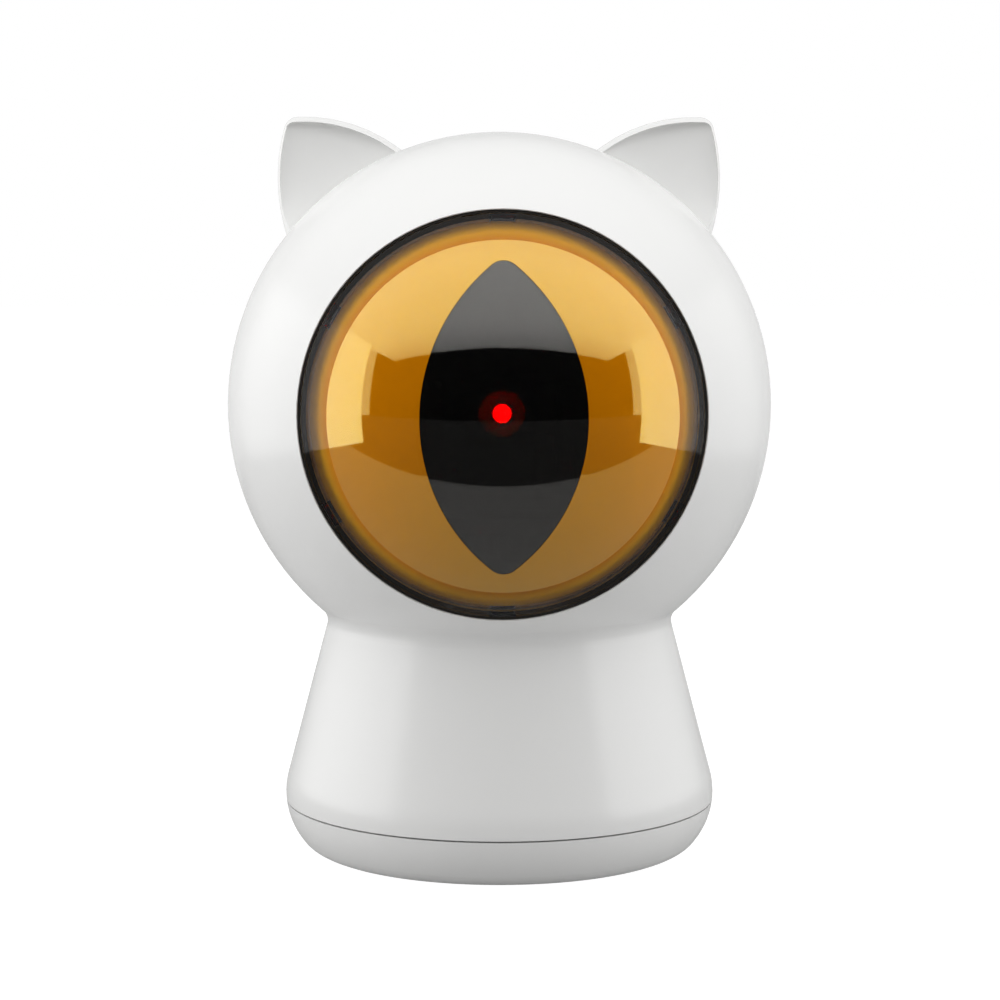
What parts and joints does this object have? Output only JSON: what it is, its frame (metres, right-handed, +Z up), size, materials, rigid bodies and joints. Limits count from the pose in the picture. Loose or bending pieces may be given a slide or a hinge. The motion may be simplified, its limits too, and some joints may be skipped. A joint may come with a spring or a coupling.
{
  "type": "automatic cat laser toy",
  "caption": "Round-headed automatic laser toy with cat ears, an amber dome eye with a slit pupil and a flared base; a geared pan and tilt gimbal aims the laser inside.",
  "frame": {"origin": "centre of the head's footprint on the table, at the underside of the foot ring", "axes": "+Z up; the eye looks along -Y; +X to the right of someone facing the eye"},
  "size_m": [0.1, 0.0996, 0.1354],
  "materials": {
    "shell": "satin moulded ABS, white",
    "rubber": "soft anti-slip rubber, dark grey",
    "amber_clear": "clear amber polycarbonate, polished",
    "iris": "amber gloss, reflective",
    "pupil": "dark laser window, polished",
    "black_plastic": "black moulded plastic",
    "grey_plastic": "grey moulded plastic",
    "tray_plastic": "off-white moulded plastic",
    "nylon": "natural acetal gear plastic",
    "steel": "zinc-plated steel",
    "bronze": "sintered bronze",
    "brass": "turned brass",
    "laser_red": "lit laser lens",
    "pcb": "green solder mask",
    "chips": "moulded chips and lead sockets",
    "cell_skin": "dark printed-free cell sleeve",
    "wire": "insulated leads"
  },
  "bodies": {
    "housing": {"front_shell": "shell", "rear_shell": "shell", "eye_lens": "amber_clear", "iris_shell": "iris", "pupil_window": "pupil", "eye_bezel": "black_plastic", "bezel_screws": "steel", "mechanism_frame": "grey_plastic", "frame_screws": "steel", "pan_bush": "bronze", "pan_motor": "steel", "pan_motor_screws": "steel", "battery_tray": "tray_plastic", "tray_screws": "steel", "cell_left": "cell_skin", "cell_middle": "cell_skin", "cell_right": "cell_skin", "contact_springs": "steel", "contact_plates": "steel", "main_board": "pcb", "board_screws": "steel", "board_parts": "chips", "radio_module": "steel", "usb_socket": "steel", "tact_switch": "black_plastic", "button_board": "pcb", "button_board_screws": "steel", "battery_leads": "wire", "motor_lead": "wire", "button_lead": "wire"},
    "base_cap": {"base_cover": "shell", "foot_ring": "rubber"},
    "button": {"power_button": "shell", "switch_stem": "black_plastic"},
    "pan_head": {"pan_yoke": "tray_plastic", "pan_gear": "nylon", "pan_shaft": "steel", "pan_clip": "steel", "tilt_bushes": "bronze", "tilt_motor": "steel", "tilt_motor_screws": "steel"},
    "pan_drive": {"pan_motor_shaft": "steel", "pan_pinion": "nylon"},
    "tilt_head": {"laser_cradle": "grey_plastic", "tilt_gear": "nylon", "laser_barrel": "brass", "laser_lens": "laser_red", "laser_clamp_screw": "steel"},
    "tilt_drive": {"tilt_motor_shaft": "steel", "tilt_pinion": "nylon"}
  },
  "joints": [
    {"name": "base_twist", "type": "hinge", "parent": "housing", "child": "base_cap", "pos_m": [0, 0, 0.006], "axis": [0, 0, 1], "range_deg": [0, 25]},
    {"name": "power_press", "type": "slide", "parent": "housing", "child": "button", "axis": [0, -1, 0], "range_m": [0, 0.0005], "stiffness_N_per_m": 2500, "springref_m": -0.0002},
    {"name": "pan", "type": "hinge", "parent": "housing", "child": "pan_head", "pos_m": [0, -0.01399, 0.055], "axis": [0, 0, 1], "range_deg": [-40, 40]},
    {"name": "pan_pinion_spin", "type": "hinge", "parent": "housing", "child": "pan_drive", "pos_m": [0, 0.00361, 0.057], "axis": [0, 0, 1], "range_deg": [-108, 108]},
    {"name": "tilt", "type": "hinge", "parent": "pan_head", "child": "tilt_head", "pos_m": [0, -0.01399, 0.0825], "axis": [1, 0, 0], "range_deg": [-10, 35]},
    {"name": "tilt_pinion_spin", "type": "hinge", "parent": "pan_head", "child": "tilt_drive", "pos_m": [0, -0.00211, 0.07062], "axis": [1, 0, 0], "range_deg": [-90, 30]}
  ],
  "couplings": [
    {"joint": "pan_pinion_spin", "follows": "pan", "ratio": -2.6667},
    {"joint": "tilt_pinion_spin", "follows": "tilt", "ratio": -2.5}
  ]
}
